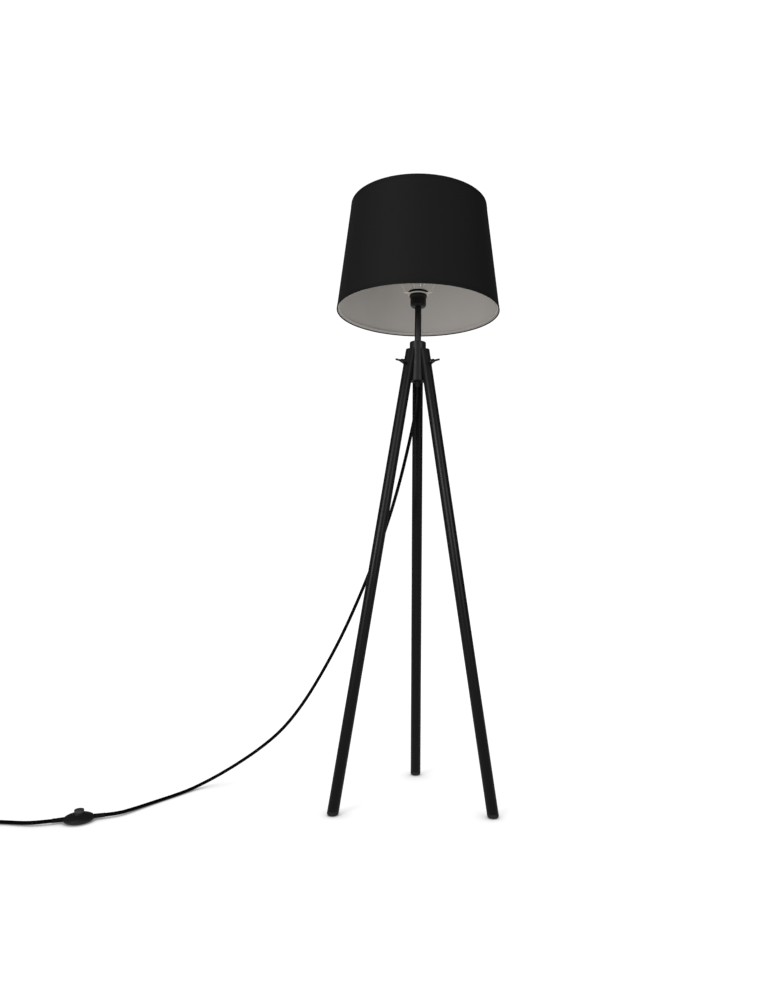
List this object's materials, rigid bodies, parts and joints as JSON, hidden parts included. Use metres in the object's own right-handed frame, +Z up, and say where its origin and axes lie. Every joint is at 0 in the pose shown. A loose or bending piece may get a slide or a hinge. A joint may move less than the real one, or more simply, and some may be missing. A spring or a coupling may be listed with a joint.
{
  "type": "tripod floor lamp",
  "caption": "Floor lamp with leaning dowel legs in a fluted hub, a short pole, a screw lamp holder, a tapered drum shade and a corded foot switch",
  "frame": {"origin": "on the floor under the middle of the lamp's box; the lamp's own axis stands 9.5 mm from it towards -Y", "axes": "+Z up, -Y towards the front, where the cord leaves to the left (-X); one leg points to +Y"},
  "size_m": [1.2466, 0.5438, 1.4423],
  "materials": {
    "hub_metal": "satin black paint",
    "pole_metal": "satin black paint",
    "nipple_steel": "zinc plated steel thread",
    "leg_wood": "black stained and lacquered, satin",
    "pad_rubber": "matt black rubber",
    "screw_metal": "black zinc, satin",
    "holder_plastic": "black thermoplastic, fine grain",
    "holder_ceramic": "unglazed",
    "contact_brass": "plain",
    "ring_plastic": "black thermoplastic",
    "lead_sheath": "black cable sheath",
    "frame_cream": "cream powder coat on steel wire",
    "lining_white": "off-white laminate, matt",
    "shade_fabric": "black plain weave",
    "shade_tape": "black edge tape",
    "bulb_glass": "clear",
    "cap_metal": "plain",
    "bulb_insulator": "black insulator",
    "filament_steel": "fine wire",
    "grip_plastic": "soft black moulding",
    "cord_sheath": "black sheath, satin",
    "tie_plastic": "black strap",
    "switch_plastic": "charcoal, fine grain",
    "button_plastic": "charcoal, fine grain",
    "spring_steel": "bright steel",
    "plug_plastic": "black moulding",
    "pin_nickel": "nickel plated brass"
  },
  "bodies": {
    "stand": {"hub": "hub_metal", "pole": "pole_metal", "nipple_lower": "nipple_steel", "nipple_upper": "nipple_steel", "holder_cap": "holder_plastic", "holder_body": "holder_plastic", "holder_plate": "holder_ceramic", "holder_shell": "contact_brass", "contact_centre": "contact_brass", "contact_side": "contact_brass", "inner_lead": "lead_sheath", "cord_grip": "grip_plastic", "cord_hanging": "cord_sheath", "cord_floor": "cord_sheath", "cord_tail": "cord_sheath", "cord_coil": "cord_sheath", "cord_tie": "tie_plastic", "switch_base": "switch_plastic", "switch_cover": "switch_plastic", "switch_spring": "spring_steel", "switch_contacts": "bulb_insulator", "switch_screw_left": "spring_steel", "switch_screw_right": "spring_steel", "switch_relief_in": "grip_plastic", "switch_relief_out": "grip_plastic", "plug_relief": "grip_plastic", "plug_body": "plug_plastic", "plug_pin_left": "pin_nickel", "plug_pin_right": "pin_nickel", "leg_rear": "leg_wood", "foot_pad_rear": "pad_rubber", "washer_rear": "screw_metal", "leg_front_left": "leg_wood", "foot_pad_front_left": "pad_rubber", "washer_front_left": "screw_metal", "leg_front_right": "leg_wood", "foot_pad_front_right": "pad_rubber", "washer_front_right": "screw_metal"},
    "shade": {"spider": "frame_cream", "shade_wire_top": "frame_cream", "shade_wire_bottom": "frame_cream", "shade_lining": "lining_white", "shade_fabric": "shade_fabric", "shade_tape_bottom": "shade_tape", "shade_tape_top": "shade_tape"},
    "shade_ring": {"shade_ring": "ring_plastic"},
    "bulb": {"bulb_glass": "bulb_glass", "bulb_cap": "cap_metal", "bulb_insulator": "bulb_insulator", "bulb_contact": "cap_metal", "bulb_stem": "bulb_glass", "bulb_filament": "filament_steel"},
    "switch_button": {"switch_button": "button_plastic"},
    "wing_screw_rear": {"wing_screw_rear": "screw_metal"},
    "wing_screw_front_left": {"wing_screw_front_left": "screw_metal"},
    "wing_screw_front_right": {"wing_screw_front_right": "screw_metal"}
  },
  "joints": [
    {"name": "shade_swivel", "type": "hinge", "parent": "stand", "child": "shade", "pos_m": [0, -0.0095, 1.2202], "axis": [0, 0, 1], "continuous": true},
    {"name": "shade_ring_turn", "type": "hinge", "parent": "stand", "child": "shade_ring", "pos_m": [0, -0.0095, 1.2238], "axis": [0, 0, 1], "range_deg": [0, 360]},
    {"name": "bulb_turn", "type": "hinge", "parent": "stand", "child": "bulb", "pos_m": [0, -0.0095, 1.22], "axis": [0, 0, 1], "range_deg": [0, 360]},
    {"name": "wing_screw_rear_turn", "type": "hinge", "parent": "stand", "child": "wing_screw_rear", "pos_m": [0, 0.01459, 1.045], "axis": [0, 0.9852, 0.1715], "range_deg": [0, 360]},
    {"name": "wing_screw_front_left_turn", "type": "hinge", "parent": "stand", "child": "wing_screw_front_left", "pos_m": [-0.02087, -0.02155, 1.045], "axis": [-0.8532, -0.4926, 0.1715], "range_deg": [0, 360]},
    {"name": "wing_screw_front_right_turn", "type": "hinge", "parent": "stand", "child": "wing_screw_front_right", "pos_m": [0.02087, -0.02155, 1.045], "axis": [0.8532, -0.4926, 0.1715], "range_deg": [0, 360]},
    {"name": "switch_press", "type": "slide", "parent": "stand", "child": "switch_button", "axis": [0, 0, -1], "range_m": [0, 0.0025], "stiffness_N_per_m": 600, "springref_m": -0.001, "deforming": ["switch_spring"]}
  ]
}
